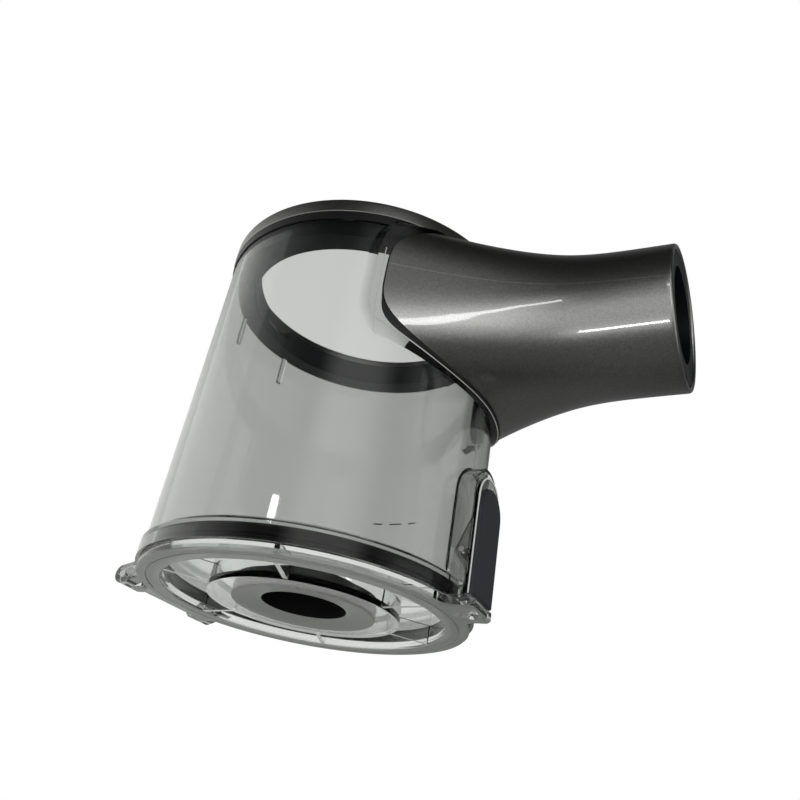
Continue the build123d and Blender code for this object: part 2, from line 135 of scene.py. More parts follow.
class TubeSizes(bpy.types.PropertyGroup):
    """Flared inlet tube with its gasket and a light wire along the clear frame's edge, a painted highlight.
    """

    axis: length("Axis", "Height of the tube's axis", 104.6)
    radius: length("Radius", "Outer radius near the mouth", 25.4)
    wall: length("Wall", "Wall thickness", 2.0)
    flare_start: length("Flare start", "Reach at which the flare begins", 94.5)
    flare_root: length("Flare root", "Reach at which the flare has its full width", 35.96)
    half_width: length("Half width", "Half width at the flare's root", 49.097)
    rise: length("Rise", "How far the top spreads at the flare's root", 7.9)
    fall: length("Fall", "How far the bottom spreads at the flare's root", 5.9)
    upper_shape: number("Upper shape", "Squareness of the root's upper half", 4.3)
    lower_shape: number("Lower shape", "Squareness of the root's lower half", 4.0)
    width_power: number("Width power", "How late the sides open", 1.45)
    height_power: number("Height power", "How late top and bottom open", 1.44)
    ease: number("Ease", "How gently the flare begins, as a share of its length", 0.25)
    saddle: length("Saddle", "Radius of the curved edge that sits on the bin", 61.03)
    gasket: length("Gasket", "Width of the gasket under the curved edge", 2.6)
    gasket_height: length("Gasket height", "How far the gasket lifts the edge off the clear frame", 0.75)
    gasket_hidden: length("Gasket hidden", "How far the gasket stays inside the edge above", 0.78)
    gasket_lip: length("Gasket lip", "How far the gasket stands out below the tube", 0.65)
    lip_start: number("Lip start", "How far down, from side 0 to bottom 1, the lip begins", 0.05)
    lip_span: number("Lip span", "How much further down it has its full width", 0.5)
    frame_margin: length("Frame margin", "How far the clear frame stands out round the tube", 0.9)
    # The frame's edge is a light wire, a painted highlight of the polished clear edge; these three set its
    # radius and where it runs
    frame_highlight: length("Frame edge", "Radius of the frame's polished edge", 0.16)
    frame_start: number("Frame start", "Share of a turn at which that edge begins", 0.47)
    frame_span: number("Frame span", "Share of a turn that it runs", 0.56)
    steps: count("Steps", "Points round the tube", 176, 16)
    rows: count("Rows", "Rows along the tube", 72, 8)
    roll_rows: count("Roll rows", "Rows round the rolled mouth", 8, 2)
    gather: number("Gather", "How far points draw towards top, bottom and sides", 0.11)
    seam_mouth: length("Seam at the mouth", "Height of the parting line at the mouth", 103.6)
    seam_rise: number("Seam rise", "Rise of the parting line towards the bin", 0.056)
    seam_width: length("Seam width", "Half width of the parting line", 0.13)


class LatchSizes(bpy.types.PropertyGroup):
    """Torsion spring of the latch, the light wire round the lever's edge that is a painted highlight, and
    the pocket's fillet.
    """

    pivot_reach: length("Pivot reach", "Distance of the latch pin from the bin's axis", 61.3)
    pivot_height: length("Pivot height", "Height of the latch pin", 18.3)
    coil_start: length("Coil start", "Place of the coil's first turn along the pin", -5.6)
    coil_radius: length("Coil radius", "Radius of the coil at the wire's middle", 1.5)
    coil_steps: count("Coil steps", "Points in a turn of the coil", 40, 8)
    wire: length("Wire", "Radius of the wire", 0.29)
    pitch: length("Pitch", "Distance between turns", 0.72)
    turns: number("Turns", "Turns of the coil", 3 + 150 / 360)
    leg: length("Leg", "Length of the long leg", 15.0)
    heel: length("Heel", "Length of the short leg", 2.6)
    eye: length("Eye", "Radius of the eye at the end of the long leg", 1.2)
    eye_steps: count("Eye steps", "Points round the eye", 24, 8)
    # A light wire round the lever's front edge, a painted highlight of its polished edge
    highlight_bead: length("Bead", "Radius of the polished edge round the lever", 0.3)
    highlight_bead_inset: length("Bead inset", "Distance of that edge's middle from the lever's outside", 0.12)
    arch_steps: count("Arch steps", "Steps over a round head", 32, 8)
    pocket_half: length("Pocket half width", "Half width of the clear pocket round the lever", 10.4)
    pocket_shoulder: length("Pocket shoulder", "Height at which the pocket's arch begins", 39.6)
    pocket_foot: length("Pocket foot", "Height at which the fillet round the pocket begins", 12.0)
    pocket_root: length("Pocket root", "Radius at which the pocket leaves the wall", 58.1)
    fillet: length("Fillet", "Radius of the clear fillet at the pocket's root", 0.6)


class MarkSizes(bpy.types.PropertyGroup):
    """Level mark on the back of the bin."""

    wall_radius: length("Wall radius", "Radius of the bin's outside", 58.0)
    height: length("Height", "Height of the mark above the lid", 55.3)
    middle: rotation("Middle", "Place round the bin", 90.6)
    line: length("Line", "Height of a dash", 0.55)
    proud: length("Proud", "How far a dash stands off the wall", 0.12)
    long_dash: length("Long dash", "Width of the middle dash", 6.0)
    short_dash: length("Short dash", "Width of the outer dashes", 4.2)
    spacing: length("Spacing", "Distance of the outer dashes from the middle", 8.6)
    draft: number("Draft", "Height of a dash's outside as a share of its foot", 0.7)
    steps: count("Steps", "Steps along a dash", 12, 2)


class Colours(bpy.types.PropertyGroup):
    """Colours of the finishes, and how fast clear plastic darkens with thickness."""

    smoke: tint("Smoke", "Tint of the clear wall", (0.95, 0.955, 0.95))
    smoke_depth: tint("Smoke depth", "Colour that a thick clear edge takes", (0.60, 0.615, 0.60))
    wall_density: number("Wall density", "Darkening of the clear wall per metre", 390.0)
    lever_density: number("Lever density", "Darkening of the clear lever per metre", 900.0)
    fillet_density: number("Fillet density", "Darkening of the pocket's fillet per metre", 2500.0)
    lid_density: number("Lid density", "Darkening of the lid per metre", 90.0)
    lid_clear: tint("Lid", "Tint of the lid", (0.95, 0.965, 0.95))
    lid_frost: tint("Lid frost", "Frosted flange and cone of the lid", (0.22, 0.232, 0.212))
    plug: tint("Plug", "Black plug in the lid's hub", (0.002, 0.002, 0.002))
    paint: tint("Paint", "Metallic charcoal paint", (0.15, 0.152, 0.147))
    paint_flake: tint("Paint flake", "Bright flakes in the paint", (0.34, 0.345, 0.33))
    rubber: tint("Rubber", "Black seals", (0.012, 0.012, 0.013))
    collar: tint("Collar", "Dark mouldings", (0.019, 0.022, 0.024))
    liner: tint("Liner", "Black mouldings inside the tube", (0.004, 0.005, 0.007))
    pad: tint("Pad", "Press pad", (0.024, 0.027, 0.031))
    # Light grey of the wires that are painted highlights on the clear lever's edge and, dimmed, on the
    # clear frame's edge
    edge: tint("Edge", "Polished edge of the clear lever", (0.8, 0.82, 0.8))
    steel: tint("Steel", "Pins and spring", (0.56, 0.56, 0.55))
    brass: tint("Brass", "Contact blades", (0.72, 0.52, 0.22))
    mark: tint("Mark", "Level mark", (0.10, 0.10, 0.10))
    floor: tint("Floor", "Pale floor", (0.86, 0.86, 0.86))


class StageSizes(bpy.types.PropertyGroup):
    """Camera and light."""

    azimuth: rotation("Azimuth", "Camera direction", 30.48)
    elevation: rotation("Elevation", "Camera height angle", -29.17)
    roll: rotation("Roll", "Camera roll", 10.49)
    distance: length("Distance", "Camera distance from the target plane", 310.15)
    target: length("Target", "Height of the point that the camera turns about", 60.0)
    aside: length("Aside", "Camera offset to the right", 24.37)
    above: length("Above", "Camera offset upwards", 21.6)
    lens: number("Lens", "Focal length in millimetres on a 36 mm sensor", 36.28)
    sky: number("Sky", "Strength of the soft light from all round", 0.62)
    strip: number("Strip", "Power of the bent strip lamp in watts a metre", 1.3)
    strip_width: length("Strip width", "Width of the bent strip lamp", 30.0)
    spot: number("Spot", "Power of the small lamp in watts", 0.35)
    window: number("Window", "Power in watts of the lamp that the clear wall mirrors", 0.1)
    fill: number("Fill", "Power of each large lamp in watts", 2.5)
    near: length("Near", "Distance of the strip, the small lamp and the window lamp", 750.0)
    far: length("Far", "Distance of the large lamps", 1100.0)


def settings(name):
    """Property group of this scene by name."""
    return getattr(bpy.context.scene, "dust_bin_" + name)


# Shader maths


class Signal:
    """A shader socket on which Python operators add Math nodes."""

    def __init__(self, graph, socket):
        self.graph = graph
        self.socket = socket

    def math(self, operation, first, second):
        """Math node on two values."""
        return self.graph.node("ShaderNodeMath", {"operation": operation}, {0: first, 1: second})

    def __add__(self, other):
        return self.math("ADD", self, other)

    def __radd__(self, other):
        return self.math("ADD", other, self)

    def __sub__(self, other):
        return self.math("SUBTRACT", self, other)

    def __rsub__(self, other):
        return self.math("SUBTRACT", other, self)

    def __mul__(self, other):
        return self.math("MULTIPLY", self, other)

    def __rmul__(self, other):
        return self.math("MULTIPLY", other, self)

    def __neg__(self):
        return 0 - self

    def __abs__(self):
        return self.math("ABSOLUTE", self, 0)

    def band(self, low, high):
        """0 at low, 1 at high and a smooth step between them."""
        limits = {"From Min": low, "From Max": high, "Value": self}
        return self.graph.node("ShaderNodeMapRange", {"interpolation_type": "SMOOTHSTEP"}, limits)

    def past(self, edge, blur):
        """1 past an edge and 0 before it, softened by blur on both sides."""
        return self.band(edge - blur, edge + blur)

    def clamped(self):
        """The value held between 0 and 1."""
        return self.graph.node("ShaderNodeClamp", None, {0: self})


class Graph:
    """Node tree of one material or of the world."""

    def __init__(self, tree):
        self.tree = tree
        tree.nodes.clear()

    def node(self, kind, choices=None, inputs=None, output=0):
        """Add a node, set its choices and then its sockets, and return one output or a list of them."""
        made = self.tree.nodes.new(kind)
        for key, value in (choices or {}).items():
            setattr(made, key, value)
        for key, value in (inputs or {}).items():
            if isinstance(value, Signal):
                self.tree.links.new(value.socket, made.inputs[key])
            else:
                made.inputs[key].default_value = value
        if not len(made.outputs):
            return None
        if isinstance(output, tuple):
            return [Signal(self, made.outputs[key]) for key in output]
        return Signal(self, made.outputs[output])

    def place(self):
        """Coordinates on the object, in metres in the part's own frame."""
        return self.node("ShaderNodeTexCoord", output="Object")

    def axes(self, where):
        """The three coordinates of a place or direction as separate values."""
        return self.node("ShaderNodeSeparateXYZ", None, {0: where}, output=(0, 1, 2))

    def noise(self, scale, detail=3.0, stretch=None):
        """Soft noise in the part's frame, drawn out along an axis where stretch says so."""
        where = self.place()
        if stretch:
            where = self.node("ShaderNodeVectorMath", {"operation": "MULTIPLY"}, {0: where, 1: stretch})
        return self.node("ShaderNodeTexNoise", None, {"Vector": where, "Scale": scale, "Detail": detail})

    def speckle(self, scale):
        """One random value for each small cell."""
        inputs = {"Vector": self.place(), "Scale": scale}
        cells = self.node("ShaderNodeTexVoronoi", None, inputs, output="Color")
        return self.node("ShaderNodeSeparateColor", None, {0: cells})

    def mix(self, share, first, second):
        """Colour between first and second, each a plain colour or a socket."""
        ends = [end if isinstance(end, Signal) else (*end, 1) for end in (first, second)]
        sockets = {0: share, 6: ends[0], 7: ends[1]}
        return self.node("ShaderNodeMix", {"data_type": "RGBA"}, sockets, output=2)

    def bump(self, height, distance, strength):
        """Normal that follows a height in metres."""
        values = {"Height": height, "Distance": distance, "Strength": strength}
        return self.node("ShaderNodeBump", None, values)

    def surface(self, **inputs):
        """Principled shader by socket name, with underscores for spaces."""
        sockets = {key.replace("_", " "): value for key, value in inputs.items()}
        return self.node("ShaderNodeBsdfPrincipled", None, sockets)

    def blend(self, share, first, second):
        """Shader between first and second."""
        return self.node("ShaderNodeMixShader", None, {0: share, 1: first, 2: second})

    def depth(self, colour, density):
        """Volume that darkens with thickness."""
        return self.node("ShaderNodeVolumeAbsorption", None, {"Color": (*colour, 1), "Density": density})

    def output(self, shader, volume=None):
        """Connect the shader, and a volume where the material has one."""
        links = {"Surface": shader}
        if volume:
            links["Volume"] = volume
        world = isinstance(self.tree.id_data, bpy.types.World)
        self.node("ShaderNodeOutputWorld" if world else "ShaderNodeOutputMaterial", None, links)


def material(name):
    """New node material and its graph."""
    made = bpy.data.materials.new(name)
    made.use_nodes = True
    return made, Graph(made.node_tree)


def scaled(colour, factor):
    """Colour made darker or lighter, up to white."""
    return [min(1, factor * part) for part in colour]


# Finishes

CLEAR_IOR = 1.49
# Scales of the noise and the flakes, in cycles a metre
HAZE_SCALE = 900.0
FLOW_SCALE = 38.0
FLOW_STRETCH = (1.0, 1.0, 0.22)
FROST_SCALE = 2600.0
FLAKE_SCALE = 3000.0
CLOUD_SCALE = 60.0
WEAR_SCALE = 45.0
FLOOR_SCALE = 6.0
DRAWING_SCALE = 700.0
DRAWING_STRETCH = (0.2, 4.0, 0.2)
# Reach along X over which the clear wall grows darker towards the tube's side, a painted shade for the dark
# tube and latch that the wall mirrors
SHADE_START = 5 * MM
SHADE_END = 62 * MM


def clear_body(graph, colour):
    """Faintly hazy tint and roughness of polished clear plastic."""
    haze = graph.noise(HAZE_SCALE, detail=2.0)
    return graph.mix(haze * 0.5, colour, scaled(colour, 0.97)), 0.012 + haze * 0.03


def smoke_plastic(name, colour, depth, density):
    """Clear moulding with a smoky depth, faint flow lines, a polished skin and painted shade that darkens
    it towards the tube's side.
    """
    made, graph = material(name)
    flow = graph.noise(FLOW_SCALE, detail=2.0, stretch=FLOW_STRETCH)
    body, roughness = clear_body(graph, colour)
    # Painted shade: the base colour darkens along X towards the tube, on every piece with this finish
    reach = graph.axes(graph.place())[0]
    shader = graph.surface(
        Base_Color=graph.mix(reach.band(SHADE_START, SHADE_END), body, scaled(colour, 0.85)),
        Roughness=roughness,
        IOR=CLEAR_IOR,
        Transmission_Weight=1.0,
        Normal=graph.bump(flow, distance=0.6 * MM, strength=0.05),
    )
    graph.output(shader, graph.depth(depth, density))
    return made


def lid_plastic(name, colours):
    """Clear lid whose flange and inner cone are frosted, with a black plug in its hub."""
    made, graph = material(name)
    sizes = settings("lid")
    across, along, height = graph.axes(graph.place())
    radius = graph.node("ShaderNodeMath", {"operation": "SQRT"}, {0: across * across + along * along})
    flange = radius.past(sizes.flange, sizes.frost_blur)
    flange = flange * (1 - height.past(sizes.flange_top, sizes.flange_blur))
    cone = radius.past(sizes.cone, sizes.frost_blur) * (1 - radius.past(sizes.cone_rim, sizes.frost_blur))
    cone = cone * (1 - height.past(sizes.cone_top, sizes.frost_blur))
    grain = graph.noise(FROST_SCALE)
    body, roughness = clear_body(graph, colours.lid_clear)
    clear = graph.surface(Base_Color=body, Roughness=roughness, IOR=CLEAR_IOR, Transmission_Weight=1.0)
    frost = graph.surface(
        Base_Color=graph.mix(grain, scaled(colours.lid_frost, 0.75), scaled(colours.lid_frost, 1.2)),
        Roughness=0.5 + grain * 0.2,
        Normal=graph.bump(grain, distance=0.04 * MM, strength=0.3),
    )
    plug = graph.surface(
        Base_Color=graph.mix(grain, colours.plug, scaled(colours.plug, 3.0)),
        Roughness=0.5 + grain * 0.1,
        Specular_IOR_Level=0.1,
    )
    shader = graph.blend(flange * 0.8 + cone * 0.85, clear, frost)
    shader = graph.blend(1 - radius.past(sizes.plug, sizes.plug_blur), shader, plug)
    graph.output(shader, graph.depth(colours.smoke_depth, colours.lid_density))
    return made


def flake_paint(name, colours, seam=None):
    """Metallic paint with fine flakes under a clear coat, and a parting line where seam gives one, drawn
    light as a painted highlight along the real seam.
    """
    made, graph = material(name)
    flakes = graph.speckle(FLAKE_SCALE)
    cloud = graph.noise(CLOUD_SCALE, detail=2.0)
    body = graph.mix(flakes * 0.3 + cloud * 0.1, colours.paint, colours.paint_flake)
    height = flakes
    if seam:
        line = seam(graph)
        # The seam is real; its light colour is a painted highlight along its lip
        body = graph.mix(line * 0.4, body, scaled(colours.paint_flake, 1.6))
        height = flakes + line * 2
    shader = graph.surface(
        Base_Color=body,
        Metallic=1.0,
        Roughness=0.3 + flakes * 0.06,
        Coat_Weight=0.8,
        Coat_Roughness=0.05,
        Normal=graph.bump(height, distance=0.02 * MM, strength=0.1),
    )
    graph.output(shader)
    return made


def moulded(name, colour, rough, grain, depth):
    """Opaque moulding with a fine even grain of a scale and depth, and slightly worn highs."""
    made, graph = material(name)
    texture = graph.noise(grain, detail=4.0)
    wear = graph.noise(WEAR_SCALE)
    shader = graph.surface(
        Base_Color=graph.mix(texture * 0.35 + wear * 0.25, colour, scaled(colour, 1.6)),
        Roughness=rough + (texture - 0.5) * 0.16,
        Specular_IOR_Level=0.25,
        Normal=graph.bump(texture, distance=depth, strength=0.4),
    )
    graph.output(shader)
    return made


def drawn_metal(name, colour, rough):
    """Bare metal with fine drawing lines."""
    made, graph = material(name)
    lines = graph.noise(DRAWING_SCALE, stretch=DRAWING_STRETCH)
    shader = graph.surface(
        Base_Color=graph.mix(lines * 0.5, colour, scaled(colour, 0.6)),
        Metallic=1.0,
        Roughness=rough + lines * 0.15,
        Normal=graph.bump(lines, distance=0.02 * MM, strength=0.3),
    )
    graph.output(shader)
    return made


# Mesh tools

# Largest share of an edge that one corner's rounding takes
ROUNDING_LIMIT = 0.48
# Steps of the search for the saddle's edge
HALVINGS = 40


def rounded(outline, radii, steps):
    """Closed outline with each corner drawn as a short curve of its own radius."""
    smooth = []
    corners = len(outline)
    for index in range(corners):
        corner = Vector(outline[index])
        before = Vector(outline[index - 1]) - corner
        after = Vector(outline[(index + 1) % corners]) - corner
        reach = min(radii[index], ROUNDING_LIMIT * before.length, ROUNDING_LIMIT * after.length)
        if reach <= 0:
            smooth.append(tuple(corner))
            continue
        first = corner + before.normalized() * reach
        last = corner + after.normalized() * reach
        for step in range(steps + 1):
            share = step / steps
            point = first * (1 - share) ** 2 + corner * 2 * share * (1 - share) + last * share**2
            smooth.append(tuple(point))
    return smooth


def lathe(outline, steps):
    """Vertices and faces of a closed outline of radius and height, turned round Z."""
    rows = []
    for step in range(steps):
        angle = 2 * math.pi * step / steps
        across = math.cos(angle)
        along = math.sin(angle)
        rows.append([(radius * across, radius * along, height) for radius, height in outline])
    return woven(rows)


def woven(rows):
    """Vertices and faces of closed rows, each joined to the next and the last to the first."""
    width = len(rows[0])
    vertices = [point for row in rows for point in row]
    faces = []
    for row in range(len(rows)):
        here = row * width
        there = (row + 1) % len(rows) * width
        for index in range(width):
            beside = (index + 1) % width
            faces.append((here + index, there + index, there + beside, here + beside))
    return vertices, faces


def add_piece(name, vertices, faces, body, materials):
    """Closed mesh piece with smooth shading, riding on a body."""
    mesh = bpy.data.meshes.new(name)
    mesh.from_pydata(vertices, [], faces)
    shape = bmesh.new()
    shape.from_mesh(mesh)
    bmesh.ops.recalc_face_normals(shape, faces=shape.faces)
    shape.to_mesh(mesh)
    shape.free()
    for finish in materials:
        mesh.materials.append(finish)
    piece = place_mesh(name, mesh, sharp=35.0)
    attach(piece, body)
    return piece


def add_wire(name, points, radius, finish):
    """Mesh object of a round wire along points, which a caller may put on a body."""
    curve = bpy.data.curves.new(name, "CURVE")
    curve.dimensions = "3D"
    curve.bevel_depth = radius
    curve.bevel_resolution = 4
    curve.use_fill_caps = True
    wire = curve.splines.new("POLY")
    wire.points.add(len(points) - 1)
    for place, point in zip(wire.points, points):
        place.co = (*point, 1)
    curve.materials.append(finish)
    holder = bpy.data.objects.new(name + "_line", curve)
    mesh = bpy.data.meshes.new_from_object(holder)
    bpy.data.objects.remove(holder)
    bpy.data.curves.remove(curve)
    piece = place_mesh(name, mesh, sharp=50.0)
    return piece


def place_mesh(name, mesh, sharp):
    """Object of a mesh with smooth shading, creased at edges sharper than sharp degrees."""
    mesh.shade_smooth()
    mesh.set_sharp_from_angle(angle=math.radians(sharp))
    piece = bpy.data.objects.new(name, mesh)
    bpy.context.scene.collection.objects.link(piece)
    return piece


def dress(node, finish):
    """Give a CAD node its finish."""
    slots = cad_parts[node].material_slots
    if not slots:
        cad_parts[node].data.materials.append(finish)
    for slot in slots:
        slot.material = finish


# Operators


class DUSTBIN_OT_clear_wall(bpy.types.Operator):
    """Finish the clear bin wall"""

    bl_idname = "dustbin.clear_wall"
    bl_label = "Clear wall"

    def execute(self, context):
        colours = settings("colours")
        wall = smoke_plastic("clear_smoke", colours.smoke, colours.smoke_depth, colours.wall_density)
        dress("bin_shell", wall)
        return {"FINISHED"}


class DUSTBIN_OT_top_rings(bpy.types.Operator):
    """Turn the painted ring, and finish the black band and the collar"""

    bl_idname = "dustbin.top_rings"
    bl_label = "Top rings"

    def execute(self, context):
        sizes = settings("rings")
        colours = settings("colours")
        low, high = trim_box
        outline = [(sizes.trim_bore, low.z), (high.x, low.z), (high.x, high.z), (sizes.trim_bore, high.z)]
        edges = [sizes.trim_bore_foot, sizes.trim_foot, sizes.trim_edge, sizes.trim_edge]
        vertices, faces = lathe(rounded(outline, edges, steps=7), sizes.steps)
        paint = flake_paint("charcoal_paint_ring", colours)
        ring = add_piece("painted_ring", vertices, faces, "bin", [paint])
        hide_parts("top_trim_ring")
        dress("trim_seal", moulded("seam_black", colours.rubber, rough=0.22, grain=1500.0, depth=0.01 * MM))
        collar = moulded("collar_dark", colours.collar, rough=0.42, grain=1800.0, depth=0.03 * MM)
        dress("upper_collar", collar)
        return {"FINISHED"}


class DUSTBIN_OT_inlet_tube(bpy.types.Operator):
    """Build the flared inlet tube with a rolled mouth, its gasket, and a light wire along the clear frame's
    edge as a painted highlight
    """

    bl_idname = "dustbin.inlet_tube"
    bl_label = "Inlet tube"

    def execute(self, context):
        sizes = settings("tube")
        colours = settings("colours")
        turns = [even_turn(sizes, step / sizes.steps) for step in range(sizes.steps)]
        vertices, faces = woven(tube_rows(sizes, turns))
        paint = flake_paint("charcoal_paint", colours, parting_line)
        inside = moulded("tube_inside", colours.liner, rough=0.5, grain=1500.0, depth=0.02 * MM)
        tube = add_piece("inlet_tube", vertices, faces, "bin", [paint, inside])
        painted_rows = sizes.rows + sizes.roll_rows
        for face in tube.data.polygons:
            face.material_index = int(face.index // sizes.steps >= painted_rows)
        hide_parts("inlet_shell")
        rubber = moulded("gasket_black", colours.rubber, rough=0.5, grain=1200.0, depth=0.03 * MM)
        vertices, faces = woven(gasket_rows(sizes, turns))
        gasket = add_piece("saddle_gasket", vertices, faces, "bin", [rubber])
        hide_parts("port_gasket")
        # Painted highlight: a dimmer light grey wire along the clear frame's edge
        dimmed = scaled(colours.edge, 0.6)
        polished = moulded("frame_highlight", dimmed, rough=0.2, grain=900.0, depth=0.01 * MM)
        edge = add_wire("port_highlight_wire", frame_outline(sizes), sizes.frame_highlight, polished)
        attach(edge, "bin")
        return {"FINISHED"}


def even_turn(sizes, share):
    """Angle round the tube, drawn towards its top, bottom and sides, where a square shape is sparse."""
    quarter = 4 * share
    return math.pi / 2 * (quarter - sizes.gather * math.sin(2 * math.pi * quarter))


def tube_point(sizes, turn, reach, inset):
    """Point of the tube's surface at a turn round it and a reach along X, drawn in by inset."""
    along = (sizes.flare_start - reach) / (sizes.flare_start - sizes.flare_root)
    share = (along + math.hypot(along, sizes.ease)) / (1 + math.hypot(1, sizes.ease))
    across = math.cos(turn)
    upward = math.sin(turn)
    spread, shape = (sizes.rise, sizes.upper_shape) if upward > 0 else (sizes.fall, sizes.lower_shape)
    half_width = sizes.radius + (sizes.half_width - sizes.radius) * share**sizes.width_power - inset
    half_height = sizes.radius + spread * share**sizes.height_power - inset
    bend = 2 / (2 + (shape - 2) * share)
    return (
        reach,
        half_width * math.copysign(abs(across) ** bend, across),
        sizes.axis + half_height * math.copysign(abs(upward) ** bend, upward),
    )


def saddle_point(sizes, turn, inset, radius):
    """Point where the tube's surface meets a radius round the bin's axis, found by halving."""
    near = sizes.flare_root
    far = radius
    for _ in range(HALVINGS):
        middle = (near + far) / 2
        point = tube_point(sizes, turn, middle, inset)
        if math.hypot(point[0], point[1]) < radius:
            near = middle
        else:
            far = middle
    return tube_point(sizes, turn, far, inset)


def tube_rows(sizes, turns):
    """Closed rows along the tube's outside, round its rolled mouth and back along its inside."""
    lip = sizes.wall / 2
    roll = mouth_box[1].x - lip
    rows = lengthwise(sizes, turns, 0, [row / (sizes.rows - 1) for row in range(sizes.rows)], roll)
    for step in range(1, sizes.roll_rows + 1):
        angle = math.pi * step / (sizes.roll_rows + 1)
        inset = lip * (1 - math.cos(angle))
        rows.append([tube_point(sizes, turn, roll + lip * math.sin(angle), inset) for turn in turns])
    inside_rows = sizes.rows // 2
    shares = [1 - row / (inside_rows - 1) for row in range(inside_rows)]
    return rows + lengthwise(sizes, turns, sizes.wall, shares, roll)


def lengthwise(sizes, turns, inset, shares, end):
    """Rows at shares of the way from the saddle to an end, drawn in by inset."""
    feet = [saddle_point(sizes, turn, inset, sizes.saddle)[0] for turn in turns]
    return [
        [tube_point(sizes, turn, foot + (end - foot) * share, inset) for turn, foot in zip(turns, feet)]
        for share in shares
    ]


def gasket_rows(sizes, turns):
    """Closed rows along the gasket's four edges."""
    seat = sizes.saddle - sizes.gasket_height
    outer = [gasket_edge(sizes, turn) for turn in turns]
    inner = [sizes.gasket] * len(turns)
    edges = [(outer, sizes.saddle), (outer, seat), (inner, seat), (inner, sizes.saddle)]
    return [
        [saddle_point(sizes, turn, inset, radius) for turn, inset in zip(turns, insets)]
        for insets, radius in edges
    ]


def gasket_edge(sizes, turn):
    """Inset of the gasket's outer edge: hidden above the tube's sides, a lip below them."""
    share = min(1, max(0, (-math.sin(turn) - sizes.lip_start) / sizes.lip_span))
    return sizes.gasket_hidden - (sizes.gasket_hidden + sizes.gasket_lip) * share * share * (3 - 2 * share)


def frame_outline(sizes):
    """Points along the clear frame's edge, below the tube from one side to the other, for the painted
    highlight wire.
    """
    seat = sizes.saddle - sizes.gasket_height
    points = []
    for step in range(sizes.steps + 1):
        turn = even_turn(sizes, sizes.frame_start + sizes.frame_span * step / sizes.steps)
        points.append(saddle_point(sizes, turn, -sizes.frame_margin, seat))
    return points


def parting_line(graph):
    """Mask of the fine line where the tube's two halves meet, which the paint draws light as a painted
    highlight.
    """
    sizes = settings("tube")
    reach, across, height = graph.axes(graph.place())
    line = height - (mouth_box[1].x - reach) * sizes.seam_rise - sizes.seam_mouth
    outside = abs(across).band(sizes.radius - sizes.wall / 2, sizes.radius - sizes.wall / 4)
    return (1 - abs(line).band(0.4 * sizes.seam_width, sizes.seam_width)) * outside


class DUSTBIN_OT_mouth(bpy.types.Operator):
    """Finish the air duct, the ring in the mouth and the contacts"""

    bl_idname = "dustbin.mouth"
    bl_label = "Mouth"

    def execute(self, context):
        colours = settings("colours")
        duct = moulded("liner_black", colours.liner, rough=0.45, grain=1500.0, depth=0.02 * MM)
        dress("inlet_liner", duct)
        dress("contact_block", duct)
        dress("mouth_ring", moulded("mouth_dark", colours.liner, rough=0.38, grain=1800.0, depth=0.02 * MM))
        dress("contact_terminals", drawn_metal("contact_brass", colours.brass, rough=0.25))
        return {"FINISHED"}


class DUSTBIN_OT_lid(bpy.types.Operator):
    """Finish the hinged lid, turn its seal and finish the inner seal"""

    bl_idname = "dustbin.lid"
    bl_label = "Lid"

    def execute(self, context):
        sizes = settings("rings")
        colours = settings("colours")
        dress("lid", lid_plastic("clear_lid", colours))
        low, high = lid_seal_box
        inner = high.x - sizes.seal_wall
        middle = (low.z + high.z) / 2
        lip = sizes.seal_lip
        top = high.z + sizes.seal_rise
        # Radius, height and rounding of each corner
        corners = [
            (inner, low.z, 0),
            (high.x, low.z, sizes.seal_edge),
            (high.x, middle - lip / 2, sizes.seal_edge),
            (high.x - lip, middle, sizes.seal_groove),
            (high.x, middle + lip / 2, sizes.seal_edge),
            (high.x, top, sizes.seal_edge),
            (high.x - lip, top, sizes.seal_edge),
            (high.x - 2 * lip, high.z, sizes.seal_heel),
            (inner, high.z, 0),
        ]
        outline = [corner[:2] for corner in corners]
        edges = [corner[2] for corner in corners]
        vertices, faces = lathe(rounded(outline, edges, steps=4), sizes.steps)
        rubber = moulded("seal_black", colours.rubber, rough=0.4, grain=1500.0, depth=0.02 * MM)
        seal = add_piece("lid_seal", vertices, faces, "lid", [rubber])
        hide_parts("lid_outer_seal")
        dress("lid_inner_seal", rubber)
        return {"FINISHED"}


class DUSTBIN_OT_latch(bpy.types.Operator):
    """Finish the lever, its pad and pin, wind the torsion spring, draw a light wire round the lever's edge
    as a painted highlight and lay the clear fillet round the pocket
    """

    bl_idname = "dustbin.latch"
    bl_label = "Latch"

    def execute(self, context):
        sizes = settings("latch")
        colours = settings("colours")
        lever = smoke_plastic("clear_lever", colours.smoke, colours.smoke_depth, colours.lever_density)
        dress("latch_lever", lever)
        dress("latch_pad", moulded("pad_grey", colours.pad, rough=0.46, grain=2200.0, depth=0.05 * MM))
        steel = drawn_metal("pin_steel", colours.steel, rough=0.22)
        dress("latch_pin", steel)
        spring = add_wire("torsion_spring", spring_points(sizes), sizes.wire, steel)
        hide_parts("latch_spring")
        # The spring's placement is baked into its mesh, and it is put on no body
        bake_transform(spring)
        # Painted highlight: a light grey wire round the lever's front edge
        polished = moulded("lever_highlight_paint", colours.edge, rough=0.2, grain=900.0, depth=0.01 * MM)
        highlight_bead = add_wire("lever_highlight_wire", lever_outline(sizes), sizes.highlight_bead, polished)
        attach(highlight_bead, "latch")
        thick = smoke_plastic("clear_fillet", colours.smoke, colours.smoke_depth, colours.fillet_density)
        fillet = add_wire("pocket_fillet", pocket_outline(sizes), sizes.fillet, thick)
        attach(fillet, "bin")
        return {"FINISHED"}


def arch(half, foot, shoulder, steps):
    """Places across and heights of an arch, from foot to foot over its round head."""
    places = [(-half, foot)]
    for step in range(steps + 1):
        angle = math.pi * (1 - step / steps)
        places.append((half * math.cos(angle), shoulder + half * math.sin(angle)))
    places.append((half, foot))
    return places


